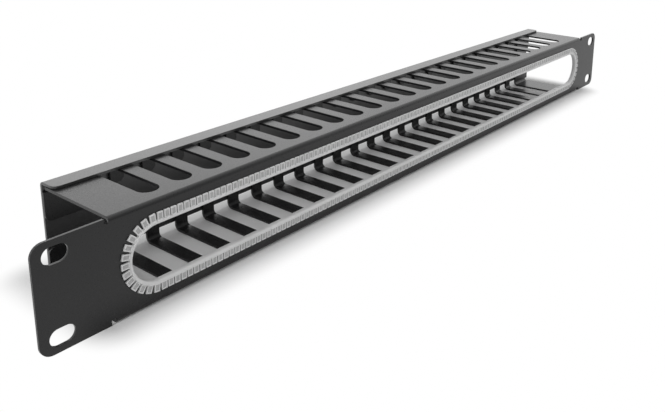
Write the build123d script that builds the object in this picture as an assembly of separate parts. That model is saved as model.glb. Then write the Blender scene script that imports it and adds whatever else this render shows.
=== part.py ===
from build123d import *
import os
from math import pi, sqrt

# Horizontal cable manager for a 19 inch rack, one rack unit high.
# A folded sheet duct has a long opening in its front panel and rows of slots above and below,
# for cables to leave by. An edging strip guards the opening, and a cover closes the back.
# Frame: +X to the right along the panel, +Y into the rack, +Z up.
# Origin: middle of the front panel, on its front face.

# Rack interface
RACK_UNIT = 44.45
RACK_GAP = 0.75
PANEL_LENGTH = 482.6
EAR_WIDTH = 29.9
EAR_CORNER_RADIUS = 5.0
HOLE_EDGE = 8.75
HOLE_SPACING_Z = 31.75
RACK_SLOT_LENGTH = 10.0
RACK_SLOT_WIDTH = 6.8

# Folded duct
SHEET = 1.2
FRONT_BEND = 0.8
REAR_BEND = 2.0
CHANNEL_DEPTH = 47.0
RELIEF_WIDTH = 2.0
RELIEF_BEYOND_BEND = 0.2

# Opening in the front panel
OPENING_END = 6.4
OPENING_MARGIN = 8.35

# Slots and the fingers between them
SLOT_PITCH = 16.2
SLOT_WIDTH = 9.6
SLOT_FRONT = 7.6
LEAST_SOLID_END = 16.0
FINGER_TAB_HEIGHT = 9.0
FINGER_TAB_CORNER = 1.6

# Tabs on the solid ends of both plates
END_TAB_HEIGHT = 16.0
END_TAB_RADIUS = 3.0
END_NOTCH = 3.0

# Rear cover
COVER_SHEET = 1.2
COVER_BEND = 0.8
COVER_SHORTER = 0.8
COVER_TOP_GAP = 0.1
COVER_REAR_GAP = 0.3
COVER_FLANGE = 10.5
COVER_FLANGE_RADIUS = 3.0
COVER_SILL = 4.4
COVER_SILL_RADIUS = 1.0

# Edging strip
TRIM_FIT = 0.05
TRIM_LEG = 1.1
TRIM_WEB = 1.6
TRIM_OVERLAP = 3.6
TRIM_TOOTH_WIDTH = 2.2
TRIM_PITCH = 3.17
TRIM_TOOTH_ROOT = 0.25
TRIM_JOINT_X = 19.0
TRIM_JOINT_GAP = 0.4

# Worked out from the sizes above
PANEL_HEIGHT = RACK_UNIT - RACK_GAP
HOLE_SPACING_X = PANEL_LENGTH - 2 * HOLE_EDGE
CHANNEL_LENGTH = PANEL_LENGTH - 2 * EAR_WIDTH
OPENING_LENGTH = CHANNEL_LENGTH - 2 * OPENING_END
OPENING_HEIGHT = PANEL_HEIGHT - 2 * OPENING_MARGIN
SLOT_COUNT = int((CHANNEL_LENGTH - 2 * LEAST_SOLID_END + SLOT_PITCH - SLOT_WIDTH) / SLOT_PITCH)
SLOTS_LENGTH = (SLOT_COUNT - 1) * SLOT_PITCH + SLOT_WIDTH


def in_depth(drawing, front, back):
    """A drawing seen from the front, made solid from one depth to another."""
    return extrude(Plane.XZ.offset(-front) * drawing, -(back - front))


def along_length(drawing, left, right):
    """A cross-section seen from the right end, made solid from one X to another."""
    return extrude(Plane.YZ.offset(left) * drawing, right - left)


# Duct body

def panel_drawing():
    """The flat front panel, with its ears and rack slots, less the channel's width."""
    outline = RectangleRounded(PANEL_LENGTH, PANEL_HEIGHT, EAR_CORNER_RADIUS)
    rack_slots = GridLocations(HOLE_SPACING_X, HOLE_SPACING_Z, 2, 2)
    outline -= rack_slots * SlotOverall(RACK_SLOT_LENGTH, RACK_SLOT_WIDTH)
    return outline - Rectangle(CHANNEL_LENGTH + 2 * RELIEF_WIDTH, PANEL_HEIGHT)


def section_outline(inset):
    """The channel's outline in cross-section, moved inwards by an inset."""
    size_y = CHANNEL_DEPTH - 2 * inset
    size_z = PANEL_HEIGHT - 2 * inset
    outline = Pos(CHANNEL_DEPTH / 2, 0) * Rectangle(size_y, size_z)
    front_corners = outline.vertices().group_by(Axis.X)[0]
    outline = fillet(front_corners, FRONT_BEND + SHEET - inset)
    lower_rear = outline.vertices().sort_by(lambda corner: corner.X - corner.Y)[-1]
    outline = fillet(lower_rear, REAR_BEND + SHEET - inset)
    # The upper rear bend lies under the cover. It is one flat that takes as much off the
    # corner as the arc would, and keeps the sheet's thickness.
    upper_rear = outline.vertices().sort_by(lambda corner: corner.X + corner.Y)[-1]
    flat = (REAR_BEND + SHEET) * sqrt(2 - pi / 2) - inset * (2 - sqrt(2))
    return chamfer(upper_rear, flat)


def channel_section(tab_height):
    """The folded channel: front panel, two plates and a tab turned in at the back of each."""
    sheet = section_outline(0) - section_outline(SHEET)
    between_tabs = Rectangle(CHANNEL_DEPTH, PANEL_HEIGHT - 2 * tab_height)
    return sheet - Pos(CHANNEL_DEPTH, 0) * between_tabs


def slot_drawing():
    """The rows of slots seen from above, round at the front and open at the back."""
    centre_y = SLOT_FRONT + SLOT_WIDTH / 2
    back = CHANNEL_DEPTH + SHEET
    straight = Pos(0, (centre_y + back) / 2) * Rectangle(SLOT_WIDTH, back - centre_y)
    slot = straight + Pos(0, centre_y) * Circle(SLOT_WIDTH / 2)
    return [place * slot for place in GridLocations(SLOT_PITCH, 1, SLOT_COUNT, 1)]


def tab_corners(body, tab_height):
    """The edges at the free corners of the tabs of one height."""
    corners = []
    for edge in body.edges().filter_by(Axis.Y):
        centre = edge.center()
        at_back = abs(centre.Y - (CHANNEL_DEPTH - SHEET / 2)) < SHEET / 2
        at_tip = abs(abs(centre.Z) - (PANEL_HEIGHT / 2 - tab_height)) < 0.01
        if at_back and at_tip:
            corners.append(edge)
    return corners


def make_duct_body():
    """The one-piece folded duct with its ears."""
    half_length = CHANNEL_LENGTH / 2
    body = along_length(channel_section(FINGER_TAB_HEIGHT), -half_length, half_length)
    for slot in slot_drawing():
        body -= extrude(Plane.XY * slot, PANEL_HEIGHT, both=True)
    end_section = channel_section(END_TAB_HEIGHT)
    body += along_length(end_section, -half_length, -SLOTS_LENGTH / 2)
    body += along_length(end_section, SLOTS_LENGTH / 2, half_length)
    body = chamfer(tab_corners(body, FINGER_TAB_HEIGHT), FINGER_TAB_CORNER)
    body = fillet(tab_corners(body, END_TAB_HEIGHT), END_TAB_RADIUS)
    for side_x in (-half_length, half_length):
        for side_z in (-PANEL_HEIGHT / 2, PANEL_HEIGHT / 2):
            notch = Box(2 * END_NOTCH, 2 * END_NOTCH, 2 * END_NOTCH)
            body -= Pos(side_x, CHANNEL_DEPTH, side_z) * notch
    body += in_depth(panel_drawing(), 0, SHEET)
    relief_depth = FRONT_BEND + SHEET + RELIEF_BEYOND_BEND
    neck = Rectangle(CHANNEL_LENGTH + 2 * RELIEF_WIDTH, PANEL_HEIGHT - 2 * relief_depth)
    body += in_depth(neck, 0, SHEET)
    return body - in_depth(SlotOverall(OPENING_LENGTH, OPENING_HEIGHT), -SHEET, 2 * SHEET)


# Rear cover

def make_rear_cover():
    """The folded cover: a flange that lies on the upper fingers and a wall behind all tabs."""
    half_length = (CHANNEL_LENGTH - COVER_SHORTER) / 2
    back = CHANNEL_DEPTH + COVER_REAR_GAP + COVER_SHEET
    top = PANEL_HEIGHT / 2 + COVER_TOP_GAP + COVER_SHEET
    bottom = COVER_SILL - PANEL_HEIGHT / 2
    flange = Pos(back - COVER_FLANGE / 2, top - COVER_SHEET / 2) * Rectangle(COVER_FLANGE, COVER_SHEET)
    wall = Pos(back - COVER_SHEET / 2, (top + bottom) / 2) * Rectangle(COVER_SHEET, top - bottom)
    cover = along_length(flange + wall, -half_length, half_length)
    long_edges = cover.edges().filter_by(Axis.X)
    outer_edge = long_edges.sort_by(lambda edge: edge.center().Y + edge.center().Z)[-1]
    cover = fillet(outer_edge, COVER_BEND + COVER_SHEET)
    inner_point = Vector(0, back - COVER_SHEET, top - COVER_SHEET)
    inner_edge = cover.edges().filter_by(Axis.X).sort_by_distance(inner_point)[0]
    cover = fillet(inner_edge, COVER_BEND)
    flange_corners = cover.edges().filter_by(Axis.Z).group_by(Axis.Y)[0]
    cover = fillet(flange_corners, COVER_FLANGE_RADIUS)
    wall_corners = cover.edges().filter_by(Axis.Y).group_by(Axis.Z)[0]
    return fillet(wall_corners, COVER_SILL_RADIUS)


# Edging strip

def around_opening(distance):
    """The opening's outline, moved outwards over the panel by a distance."""
    return SlotOverall(OPENING_LENGTH + 2 * distance, OPENING_HEIGHT + 2 * distance)


def places_along(distance):
    """Where the teeth stand on the straight runs, at a distance out from the opening's edge."""
    straight = OPENING_LENGTH - OPENING_HEIGHT
    count = round(straight / TRIM_PITCH)
    reach = OPENING_HEIGHT / 2 + distance
    return GridLocations(straight / count, 2 * reach, count, 2)


def places_round(distance):
    """Where the teeth stand round the two ends, at a distance out from the opening's edge."""
    straight = OPENING_LENGTH - OPENING_HEIGHT
    count = round(pi * OPENING_HEIGHT / 2 / TRIM_PITCH)
    reach = OPENING_HEIGHT / 2 + distance
    places = []
    for step in range(count):
        angle = (step + 0.5) * 180 / count
        places.append(Pos(straight / 2, 0) * Rot(0, 0, -angle) * Pos(0, reach))
        places.append(Pos(-straight / 2, 0) * Rot(0, 0, angle) * Pos(0, reach))
    return places


def make_edge_trim():
    """The strip of U section that is pressed on the opening's edge, with cut legs."""
    inside = around_opening(-TRIM_WEB)
    web = around_opening(-TRIM_FIT) - inside
    tooth_length = TRIM_OVERLAP - TRIM_TOOTH_ROOT / 2
    tooth = Rectangle(TRIM_TOOTH_WIDTH, tooth_length)
    tooth_middle = TRIM_OVERLAP - tooth_length / 2
    leg = around_opening(TRIM_TOOTH_ROOT) - inside
    leg += [place * tooth for place in places_round(tooth_middle)]
    front_leg = leg + [place * tooth for place in places_along(tooth_middle)]
    straight = OPENING_LENGTH - OPENING_HEIGHT
    rear_runs = Rectangle(straight, OPENING_HEIGHT + 2 * TRIM_OVERLAP) - Rectangle(straight, OPENING_HEIGHT)
    rear_leg = leg + rear_runs
    front = -TRIM_FIT - TRIM_LEG
    back = SHEET + TRIM_FIT + TRIM_LEG
    strip = in_depth(web, front, back)
    strip += in_depth(front_leg, front, front + TRIM_LEG)
    strip += in_depth(rear_leg, back - TRIM_LEG, back)
    joint_height = TRIM_WEB + TRIM_OVERLAP
    joint = Pos(TRIM_JOINT_X, (front + back) / 2, -OPENING_HEIGHT / 2)
    return strip - joint * Box(TRIM_JOINT_GAP, 2 * (back - front), 4 * joint_height)


nodes = {
    "duct_body": make_duct_body(),
    "rear_cover": make_rear_cover(),
    "edge_trim": make_edge_trim(),
}

os.makedirs("parts", exist_ok=True)
for name, shape in nodes.items():
    shape.label = name
    export_step(shape, f"parts/{name}.step")
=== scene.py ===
import math

import bpy
from mathutils import Matrix, Vector


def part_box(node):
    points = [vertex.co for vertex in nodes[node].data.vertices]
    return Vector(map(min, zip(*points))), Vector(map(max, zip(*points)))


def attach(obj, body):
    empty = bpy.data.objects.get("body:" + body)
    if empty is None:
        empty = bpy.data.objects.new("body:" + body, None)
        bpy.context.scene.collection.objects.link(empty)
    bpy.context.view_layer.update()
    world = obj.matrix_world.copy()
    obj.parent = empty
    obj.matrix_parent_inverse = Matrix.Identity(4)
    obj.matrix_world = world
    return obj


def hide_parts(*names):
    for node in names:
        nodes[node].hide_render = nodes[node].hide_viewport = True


# The CAD model's nodes and box

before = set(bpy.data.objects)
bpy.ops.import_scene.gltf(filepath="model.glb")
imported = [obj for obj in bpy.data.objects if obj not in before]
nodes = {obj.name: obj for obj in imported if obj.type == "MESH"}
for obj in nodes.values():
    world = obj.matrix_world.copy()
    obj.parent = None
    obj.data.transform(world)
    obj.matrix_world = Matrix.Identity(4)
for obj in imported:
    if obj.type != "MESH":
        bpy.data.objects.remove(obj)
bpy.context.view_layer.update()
scene = bpy.context.scene
scene.view_settings.view_transform = "Standard"
duct_low, duct_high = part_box("duct_body")
floor_height = duct_low.z
MM = 0.001

# Camera, matched to the photograph's frame of 665 by 412 pixels

FRAME_WIDTH = 665
FRAME_HEIGHT = 412
FOCAL_PIXELS = 752.0
PRINCIPAL_X = 400.5
PRINCIPAL_Y = 64.5
SENSOR_WIDTH = 36.0
CLIP_START = 0.01
CLIP_END = 50.0
PANEL_HALF_HEIGHT = 0.02185
CAMERA_HEIGHT = 0.1670
CAMERA_PLACE = Vector((-0.3527, -0.2352, CAMERA_HEIGHT - PANEL_HALF_HEIGHT))
CAMERA_YAW = math.radians(53.67)
CAMERA_PITCH = math.radians(14.02)
CAMERA_ROLL = math.radians(1.16)


def make_camera():
    """The camera at the photograph's viewpoint, shifted only as far as the framing needs."""
    data = bpy.data.cameras.new("camera")
    data.sensor_width = SENSOR_WIDTH
    data.lens = data.sensor_width * FOCAL_PIXELS / FRAME_WIDTH
    data.shift_x = (FRAME_WIDTH / 2 - PRINCIPAL_X) / FRAME_WIDTH
    data.shift_y = (PRINCIPAL_Y - FRAME_HEIGHT / 2) / FRAME_WIDTH
    data.clip_start = CLIP_START
    data.clip_end = CLIP_END
    level = math.cos(CAMERA_PITCH)
    forward = Vector((math.sin(CAMERA_YAW) * level, math.cos(CAMERA_YAW) * level, -math.sin(CAMERA_PITCH)))
    level_right = Vector((math.cos(CAMERA_YAW), -math.sin(CAMERA_YAW), 0.0))
    level_up = level_right.cross(forward)
    right = math.cos(CAMERA_ROLL) * level_right + math.sin(CAMERA_ROLL) * level_up
    up = math.cos(CAMERA_ROLL) * level_up - math.sin(CAMERA_ROLL) * level_right
    turn = Matrix((right, up, -forward)).transposed().to_4x4()
    camera = bpy.data.objects.new("camera", data)
    scene.collection.objects.link(camera)
    camera.matrix_world = Matrix.Translation(CAMERA_PLACE) @ turn
    scene.camera = camera


make_camera()


# Node helpers. A mix node's sockets for colours and for values share names, so they go by number.

MIX_FACTOR = 0
MIX_COLOUR_A = 6
MIX_COLOUR_B = 7
MIX_COLOUR_RESULT = 2
MIX_VALUE_A = 2
MIX_VALUE_B = 3
MIX_VALUE_RESULT = 0
NOISE_ROUGHNESS = 0.55
NOISE_LOW = 0.3
NOISE_HIGH = 0.7
EDGE_SAMPLES = 4


def add(tree, kind, **values):
    """A node of that kind, with attributes set by name."""
    node = tree.nodes.new(kind)
    for name, value in values.items():
        setattr(node, name, value)
    return node


def new_material(name):
    """A new material: returns it with its node tree and shader."""
    material = bpy.data.materials.new(name)
    material.use_nodes = True
    tree = material.node_tree
    return material, tree, tree.nodes["Principled BSDF"]


def noise(tree, scale, detail):
    """Noise over the object's own coordinates. Scale counts features to the metre."""
    place = add(tree, "ShaderNodeTexCoord")
    texture = add(tree, "ShaderNodeTexNoise")
    texture.inputs["Scale"].default_value = scale
    texture.inputs["Detail"].default_value = detail
    texture.inputs["Roughness"].default_value = NOISE_ROUGHNESS
    tree.links.new(place.outputs["Object"], texture.inputs["Vector"])
    return texture.outputs["Fac"]


def spread(tree, source, low, high, start=NOISE_LOW, end=NOISE_HIGH):
    """A value between start and end, which noise mostly keeps to, stretched over low to high."""
    node = add(tree, "ShaderNodeMapRange")
    node.inputs["From Min"].default_value = start
    node.inputs["From Max"].default_value = end
    node.inputs["To Min"].default_value = low
    node.inputs["To Max"].default_value = high
    tree.links.new(source, node.inputs["Value"])
    return node.outputs["Result"]


def blend_colours(tree, source, low, high):
    """Two colours mixed by a noise value."""
    node = add(tree, "ShaderNodeMix", data_type="RGBA")
    node.inputs[MIX_COLOUR_A].default_value = (*low, 1.0)
    node.inputs[MIX_COLOUR_B].default_value = (*high, 1.0)
    tree.links.new(spread(tree, source, 0.0, 1.0), node.inputs[MIX_FACTOR])
    return node.outputs[MIX_COLOUR_RESULT]


def blend_values(tree, factor, low, high):
    """A value between a low and a high one, each plain or linked."""
    node = add(tree, "ShaderNodeMix", data_type="FLOAT")
    tree.links.new(factor, node.inputs[MIX_FACTOR])
    for socket, value in ((node.inputs[MIX_VALUE_A], low), (node.inputs[MIX_VALUE_B], high)):
        if isinstance(value, float):
            socket.default_value = value
        else:
            tree.links.new(value, socket)
    return node.outputs[MIX_VALUE_RESULT]


def multiply(tree, first, second):
    """The product of two values."""
    node = add(tree, "ShaderNodeMath", operation="MULTIPLY")
    tree.links.new(first, node.inputs[0])
    tree.links.new(second, node.inputs[1])
    return node.outputs[0]


def bump(tree, height, strength, distance, edge_radius):
    """A bump made from a height value, over edges that look rounded by a small radius."""
    rounded = add(tree, "ShaderNodeBevel", samples=EDGE_SAMPLES)
    rounded.inputs["Radius"].default_value = edge_radius
    node = add(tree, "ShaderNodeBump")
    tree.links.new(rounded.outputs["Normal"], node.inputs["Normal"])
    node.inputs["Strength"].default_value = strength
    node.inputs["Distance"].default_value = distance
    tree.links.new(height, node.inputs["Height"])
    return node.outputs["Normal"]


def seen_directly(tree):
    """1 where the surface is seen, directly, in gloss or through glass, and 0 where it only gives light."""
    path = add(tree, "ShaderNodeLightPath")
    seen = path.outputs["Is Camera Ray"]
    for kind in ("Is Glossy Ray", "Is Transmission Ray"):
        either = add(tree, "ShaderNodeMath", operation="MAXIMUM")
        tree.links.new(seen, either.inputs[0])
        tree.links.new(path.outputs[kind], either.inputs[1])
        seen = either.outputs[0]
    return seen


# Materials: powder-coated steel and grey plastic, both with faint clouds and a fine grain

EDGE_RADIUS = 0.25 * MM
GRAIN_DETAIL = 2.0
COAT_CLOUDS = 28.0
COAT_GRAINS = 1500.0
COAT_GRAIN_STRENGTH = 0.25
COAT_GRAIN_DEPTH = 0.1 * MM
COAT_BLUE = 0.0005
COAT_ROUGH = 0.36
PLASTIC_CLOUDS = 60.0
PLASTIC_GRAINS = 2200.0
PLASTIC_GRAIN_STRENGTH = 0.15
PLASTIC_GRAIN_DEPTH = 0.05 * MM
PLASTIC_SMOOTH = 0.42
PLASTIC_ROUGH = 0.55


def grey(level, blue=0.0):
    """A grey, or one with a touch more blue."""
    return (level, level, level + blue)


def powder_coat(name, dark, light, smooth, specular):
    """Black powder coat: near-black, softly glossy, with a fine orange-peel surface."""
    material, tree, shader = new_material(name)
    cloud = noise(tree, COAT_CLOUDS, GRAIN_DETAIL)
    grain = noise(tree, COAT_GRAINS, GRAIN_DETAIL)
    colour = blend_colours(tree, cloud, grey(dark, COAT_BLUE), grey(light, COAT_BLUE))
    normal = bump(tree, grain, COAT_GRAIN_STRENGTH, COAT_GRAIN_DEPTH, EDGE_RADIUS)
    tree.links.new(colour, shader.inputs["Base Color"])
    tree.links.new(spread(tree, grain, smooth, COAT_ROUGH), shader.inputs["Roughness"])
    tree.links.new(normal, shader.inputs["Normal"])
    shader.inputs["Specular IOR Level"].default_value = specular
    return material


def strip_plastic(name, dark, light):
    """Grey moulded plastic of the edging strip; its darker copy is painted shade on the teeth's pocket
    floors.
    """
    material, tree, shader = new_material(name)
    cloud = noise(tree, PLASTIC_CLOUDS, GRAIN_DETAIL)
    grain = noise(tree, PLASTIC_GRAINS, GRAIN_DETAIL)
    normal = bump(tree, grain, PLASTIC_GRAIN_STRENGTH, PLASTIC_GRAIN_DEPTH, EDGE_RADIUS / 2)
    tree.links.new(blend_colours(tree, cloud, grey(dark), grey(light)), shader.inputs["Base Color"])
    tree.links.new(spread(tree, grain, PLASTIC_SMOOTH, PLASTIC_ROUGH), shader.inputs["Roughness"])
    tree.links.new(normal, shader.inputs["Normal"])
    return material


body_coat = powder_coat("body_powder_coat", dark=0.014, light=0.018, smooth=0.26, specular=0.34)
# The cover's coat is a lighter black than the body's: painted light that stands in for the brighter gloss on
# its top flange.
cover_coat = powder_coat("cover_powder_coat", dark=0.044, light=0.052, smooth=0.28, specular=0.64)
trim_plastic = strip_plastic("edging_plastic", dark=0.80, light=0.86)
# A darker copy of the strip's plastic for the teeth's pocket floors: painted shade in the recesses.
pocket_painted_shade = strip_plastic("pocket_painted_shade", dark=0.48, light=0.54)


# CAD nodes: edges eased and surfaces finished

WELD_DISTANCE = 0.002 * MM
EDGE_ANGLE = math.radians(40)
EDGE_SEGMENTS = 2
FLAT_WEIGHT = 100


def ease_edges(piece, radius):
    """Joins the mesh's seams, rounds its sharp edges a little and keeps its flat faces flat in shading."""
    weld = piece.modifiers.new("weld", "WELD")
    weld.merge_threshold = WELD_DISTANCE
    bevel = piece.modifiers.new("eased_edges", "BEVEL")
    bevel.width = radius
    bevel.segments = EDGE_SEGMENTS
    bevel.limit_method = "ANGLE"
    bevel.angle_limit = EDGE_ANGLE
    flat = piece.modifiers.new("flat_faces", "WEIGHTED_NORMAL")
    flat.mode = "FACE_AREA"
    flat.weight = FLAT_WEIGHT
    for face in piece.data.polygons:
        face.use_smooth = True


def finish_node(name, material):
    """Gives a CAD node its material and eased edges."""
    piece = nodes[name]
    piece.data.materials.clear()
    piece.data.materials.append(material)
    ease_edges(piece, EDGE_RADIUS)


finish_node("duct_body", body_coat)
finish_node("rear_cover", cover_coat)
finish_node("edge_trim", trim_plastic)


# Edging strip: a rounded bead round the opening's edge, with cut teeth on both faces of the panel

OPENING_LENGTH = 410.0 * MM
OPENING_HEIGHT = 27.0 * MM
SHEET = 1.2 * MM
STRIP_FIT = 0.05 * MM
STRIP_LEG = 1.1 * MM
STRIP_WEB = 1.6 * MM
STRIP_OVERLAP = 3.2 * MM
BEAD_REACH = -0.2 * MM
BEAD_CORNER = 1.0 * MM
BEAD_CORNER_STEPS = 6
BEND_STEPS = 30
TOOTH_PITCH = 3.17 * MM
TOOTH_WIDTH = 2.6 * MM
TOOTH_SINK = 0.35 * MM
TOOTH_EDGE = 0.12 * MM
POCKET_RIM = 0.5 * MM
POCKET_DEPTH = 0.2 * MM
JOINT_X = 20.57 * MM
JOINT_GAP = 0.2 * MM
FRONT = -1
REAR = 1
bend_radius = OPENING_HEIGHT / 2
straight_half = OPENING_LENGTH / 2 - bend_radius


def bead_profile():
    """The bead's section as (outwards, depth) pairs: round inside the opening, with a rib to the sheet."""
    front = -STRIP_FIT - STRIP_LEG
    back = SHEET + STRIP_FIT + STRIP_LEG
    points = [(BEAD_REACH, front)]
    for step in range(BEAD_CORNER_STEPS + 1):
        turn = math.pi / 2 * step / BEAD_CORNER_STEPS
        out = -STRIP_WEB + BEAD_CORNER * (1 - math.sin(turn))
        points.append((out, front + BEAD_CORNER * (1 - math.cos(turn))))
    for step in range(BEAD_CORNER_STEPS + 1):
        turn = math.pi / 2 * step / BEAD_CORNER_STEPS
        out = -STRIP_WEB + BEAD_CORNER * (1 - math.cos(turn))
        points.append((out, back - BEAD_CORNER * (1 - math.sin(turn))))
    points += [(BEAD_REACH, back), (BEAD_REACH, back - STRIP_LEG)]
    points += [(-STRIP_FIT, back - STRIP_LEG), (-STRIP_FIT, front + STRIP_LEG)]
    points += [(BEAD_REACH, front + STRIP_LEG)]
    return points


def on_edge(x, outwards):
    """A place on the opening's edge as (point, direction outwards), from the x of its run or bend."""
    return Vector((x, 0.0, 0.0)) + bend_radius * outwards, outwards


def bend_stations(side, start_angle):
    """The bead's places round one end of the opening."""
    stations = []
    for step in range(BEND_STEPS + 1):
        angle = start_angle + math.pi * step / BEND_STEPS
        outwards = Vector((math.cos(angle), 0.0, math.sin(angle)))
        stations.append(on_edge(side * straight_half, outwards))
    return stations


def bead_stations():
    """The bead's way round the opening, from one side of its butt joint to the other."""
    down = Vector((0.0, 0.0, -1.0))
    first = on_edge(JOINT_X + JOINT_GAP / 2, down)
    last = on_edge(JOINT_X - JOINT_GAP / 2, down)
    return [first, *bend_stations(1, -math.pi / 2), *bend_stations(-1, math.pi / 2), last]


def add_strip_piece(name, points, faces, pockets):
    """A piece of the edging strip, which stands for the CAD strip and rides with the duct."""
    mesh = bpy.data.meshes.new(name)
    mesh.from_pydata(points, [], faces + pockets)
    # The second material is the darker painted shade of the teeth's pocket floors.
    mesh.materials.append(trim_plastic)
    mesh.materials.append(pocket_painted_shade)
    for face in mesh.polygons[len(faces):]:
        face.material_index = 1
    piece = bpy.data.objects.new(name, mesh)
    scene.collection.objects.link(piece)
    ease_edges(piece, TOOTH_EDGE)
    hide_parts("edge_trim")
    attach(piece, "duct")


def make_bead():
    """The bead, swept round the opening."""
    profile = bead_profile()
    count = len(profile)
    points = []
    faces = []
    stations = bead_stations()
    for place, outwards in stations:
        for out, depth in profile:
            points.append(place + out * outwards + Vector((0.0, depth, 0.0)))
    for row in range(len(stations) - 1):
        here = row * count
        there = here + count
        for column in range(count):
            following = (column + 1) % count
            faces.append((here + column, there + column, there + following, here + following))
    faces.append(tuple(range(count)))
    faces.append(tuple(reversed(range(len(points) - count, len(points)))))
    add_strip_piece("edging_bead", points, faces, [])


def tooth_places():
    """Where the teeth stand on the opening's edge: along both straight runs, then round both ends."""
    places = []
    along = round(2 * straight_half / TOOTH_PITCH)
    for step in range(along):
        x = (step + 0.5) * 2 * straight_half / along - straight_half
        for side in (1, -1):
            places.append(on_edge(x, Vector((0.0, 0.0, float(side)))))
    round_end = round(math.pi * bend_radius / TOOTH_PITCH)
    for side in (1, -1):
        for step in range(round_end):
            angle = math.pi * ((step + 0.5) / round_end - 0.5)
            outwards = Vector((side * math.cos(angle), 0.0, math.sin(angle)))
            places.append(on_edge(side * straight_half, outwards))
    return places


def rectangle(place, outwards, half_width, near, far, depth):
    """Four corners of a rectangle beside the opening's edge, from near to far outwards, at one depth."""
    sideways = half_width * outwards.cross(Vector((0.0, 1.0, 0.0)))
    middle = place + Vector((0.0, depth, 0.0))
    low = middle + near * outwards
    high = middle + far * outwards
    return [low - sideways, low + sideways, high + sideways, high - sideways]


def joined(first, second):
    """The four faces between two rectangles, given by the number of their first corner."""
    return [(first + a, first + b, second + b, second + a) for a, b in ((0, 1), (1, 2), (2, 3), (3, 0))]


def make_teeth(name, face_depth, direction):
    """The teeth on one face of the panel: blocks that start inside the bead, each with a shallow pocket
    whose floor takes the darker painted shade.
    """
    points = []
    faces = []
    pockets = []
    near = BEAD_REACH - TOOTH_EDGE
    far = STRIP_OVERLAP
    half = TOOTH_WIDTH / 2
    sheet = face_depth + direction * STRIP_FIT
    top = face_depth + direction * (STRIP_FIT + STRIP_LEG - TOOTH_SINK)
    pocket = top - direction * POCKET_DEPTH
    rim = POCKET_RIM
    for place, outwards in tooth_places():
        base = len(points)
        points += rectangle(place, outwards, half, near, far, sheet)
        points += rectangle(place, outwards, half, near, far, top)
        points += rectangle(place, outwards, half - rim, near + rim, far - rim, top)
        points += rectangle(place, outwards, half - rim, near + rim, far - rim, pocket)
        sides = [(base + 3, base + 2, base + 1, base)]
        sides += joined(base, base + 4) + joined(base + 4, base + 8) + joined(base + 8, base + 12)
        # The pocket's floor gets the painted-shade material.
        floor = (base + 12, base + 13, base + 14, base + 15)
        if direction == REAR:
            sides = [tuple(reversed(side)) for side in sides]
            floor = tuple(reversed(floor))
        faces += sides
        pockets.append(floor)
    add_strip_piece(name, points, faces, pockets)


make_bead()
make_teeth("edging_teeth_front", 0.0, FRONT)
make_teeth("edging_teeth_rear", SHEET, REAR)


# Floor: lit, so that it takes the object's shadow, and plain white where that has faded

FLOOR_SIZE = 12.0
FLOOR_CLOUDS = 3.0
FLOOR_CLOUD_DETAIL = 3.0
FLOOR_DARK = 0.90
FLOOR_LIGHT = 0.92
FLOOR_ROUGHNESS = 0.9
FLOOR_SPECULAR = 0.1
SHADOW_BACK = 8.0 * MM
SHADOW_END = 30.0 * MM
SHADOW_START = 2.5 * MM
SHADOW_FADE = 20.0 * MM
ANY_HEIGHT = 1.0


def shadow_fade(tree):
    """From 0 near the object to 1 where its shadow has faded.

    It goes by distance from a box on the floor, which is the duct's own, longer at the back and cut short at
    both ends.
    """
    front = duct_low.y
    back = duct_high.y + SHADOW_BACK
    place = add(tree, "ShaderNodeTexCoord")
    centred = add(tree, "ShaderNodeVectorMath", operation="SUBTRACT")
    centred.inputs[1].default_value = (0.0, (front + back) / 2, floor_height)
    mirrored = add(tree, "ShaderNodeVectorMath", operation="ABSOLUTE")
    beyond = add(tree, "ShaderNodeVectorMath", operation="SUBTRACT")
    beyond.inputs[1].default_value = (duct_high.x - SHADOW_END, (back - front) / 2, ANY_HEIGHT)
    outside = add(tree, "ShaderNodeVectorMath", operation="MAXIMUM")
    distance = add(tree, "ShaderNodeVectorMath", operation="LENGTH")
    fade = add(tree, "ShaderNodeMapRange", interpolation_type="SMOOTHSTEP")
    fade.inputs["From Min"].default_value = SHADOW_START
    fade.inputs["From Max"].default_value = SHADOW_FADE
    tree.links.new(place.outputs["Object"], centred.inputs[0])
    tree.links.new(centred.outputs[0], mirrored.inputs[0])
    tree.links.new(mirrored.outputs[0], beyond.inputs[0])
    tree.links.new(beyond.outputs[0], outside.inputs[0])
    tree.links.new(outside.outputs[0], distance.inputs[0])
    tree.links.new(distance.outputs["Value"], fade.inputs["Value"])
    return fade.outputs["Result"]


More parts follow.
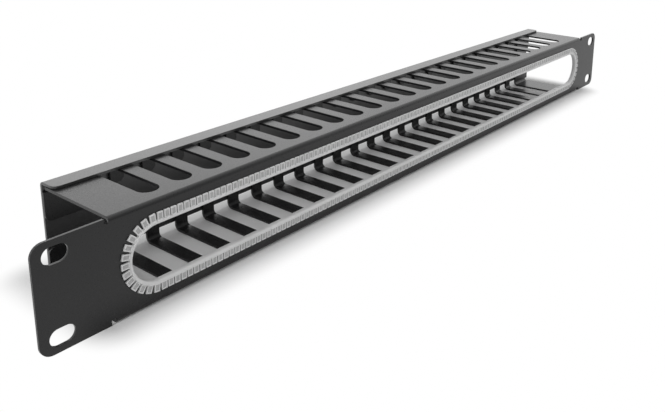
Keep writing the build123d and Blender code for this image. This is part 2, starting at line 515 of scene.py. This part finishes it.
def make_floor():
    """A pale floor that keeps the object's soft shadow, and is seen as white beyond it."""
    mesh = bpy.data.meshes.new("floor")
    half = FLOOR_SIZE / 2
    corners = [(-half, -half, floor_height), (half, -half, floor_height)]
    corners += [(half, half, floor_height), (-half, half, floor_height)]
    mesh.from_pydata(corners, [], [(0, 1, 2, 3)])
    floor = bpy.data.objects.new("floor", mesh)
    scene.collection.objects.link(floor)
    material, tree, shader = new_material("floor_white")
    cloud = noise(tree, FLOOR_CLOUDS, FLOOR_CLOUD_DETAIL)
    tint = blend_colours(tree, cloud, grey(FLOOR_DARK), grey(FLOOR_LIGHT))
    tree.links.new(tint, shader.inputs["Base Color"])
    shader.inputs["Roughness"].default_value = FLOOR_ROUGHNESS
    shader.inputs["Specular IOR Level"].default_value = FLOOR_SPECULAR
    white = add(tree, "ShaderNodeEmission")
    blend = add(tree, "ShaderNodeMixShader")
    tree.links.new(multiply(tree, shadow_fade(tree), seen_directly(tree)), blend.inputs[0])
    tree.links.new(shader.outputs[0], blend.inputs[1])
    tree.links.new(white.outputs[0], blend.inputs[2])
    tree.links.new(blend.outputs[0], tree.nodes["Material Output"].inputs["Surface"])
    mesh.materials.append(material)


make_floor()


# Light. The studio's levels: as a light, and in gloss behind and in front of the object.

LIGHT_LEVEL = 0.46
BACK_LEVEL = 1.5
FRONT_LEVEL = 0.25
FRONT_START = 0.2
FRONT_END = 0.95
WHITE_LEVEL = 1.0
PANEL_MIDDLE = Vector((0.0, 0.0, 0.0))


def make_world():
    """A white studio: even as a light, dimmer towards the front in gloss, and white as a background."""
    world = bpy.data.worlds.new("studio")
    world.use_nodes = True
    tree = world.node_tree
    background = tree.nodes["Background"]
    place = add(tree, "ShaderNodeTexCoord")
    towards_front = add(tree, "ShaderNodeVectorMath", operation="DOT_PRODUCT")
    towards_front.inputs[1].default_value = (0.0, -1.0, 0.0)
    tree.links.new(place.outputs["Generated"], towards_front.inputs[0])
    side = spread(tree, towards_front.outputs["Value"], BACK_LEVEL, FRONT_LEVEL, FRONT_START, FRONT_END)
    path = add(tree, "ShaderNodeLightPath")
    lit_or_seen = blend_values(tree, seen_directly(tree), LIGHT_LEVEL, side)
    strength = blend_values(tree, path.outputs["Is Camera Ray"], lit_or_seen, WHITE_LEVEL)
    tree.links.new(strength, background.inputs["Strength"])
    background.inputs["Color"].default_value = (1.0, 1.0, 1.0, 1.0)
    scene.world = world


def make_lamp(name, place, size, watts):
    """A large square soft lamp that points at the middle of the panel."""
    data = bpy.data.lights.new(name, "AREA")
    data.size = size
    data.energy = watts
    lamp = bpy.data.objects.new(name, data)
    scene.collection.objects.link(lamp)
    lamp.location = place
    lamp.rotation_euler = (PANEL_MIDDLE - Vector(place)).to_track_quat("-Z", "Y").to_euler()


make_world()
make_lamp("key_lamp", place=(-0.45, -0.02, 1.2), size=0.4, watts=4.5)
make_lamp("back_lamp", place=(1.2, 1.75, 1.15), size=1.3, watts=2.5)
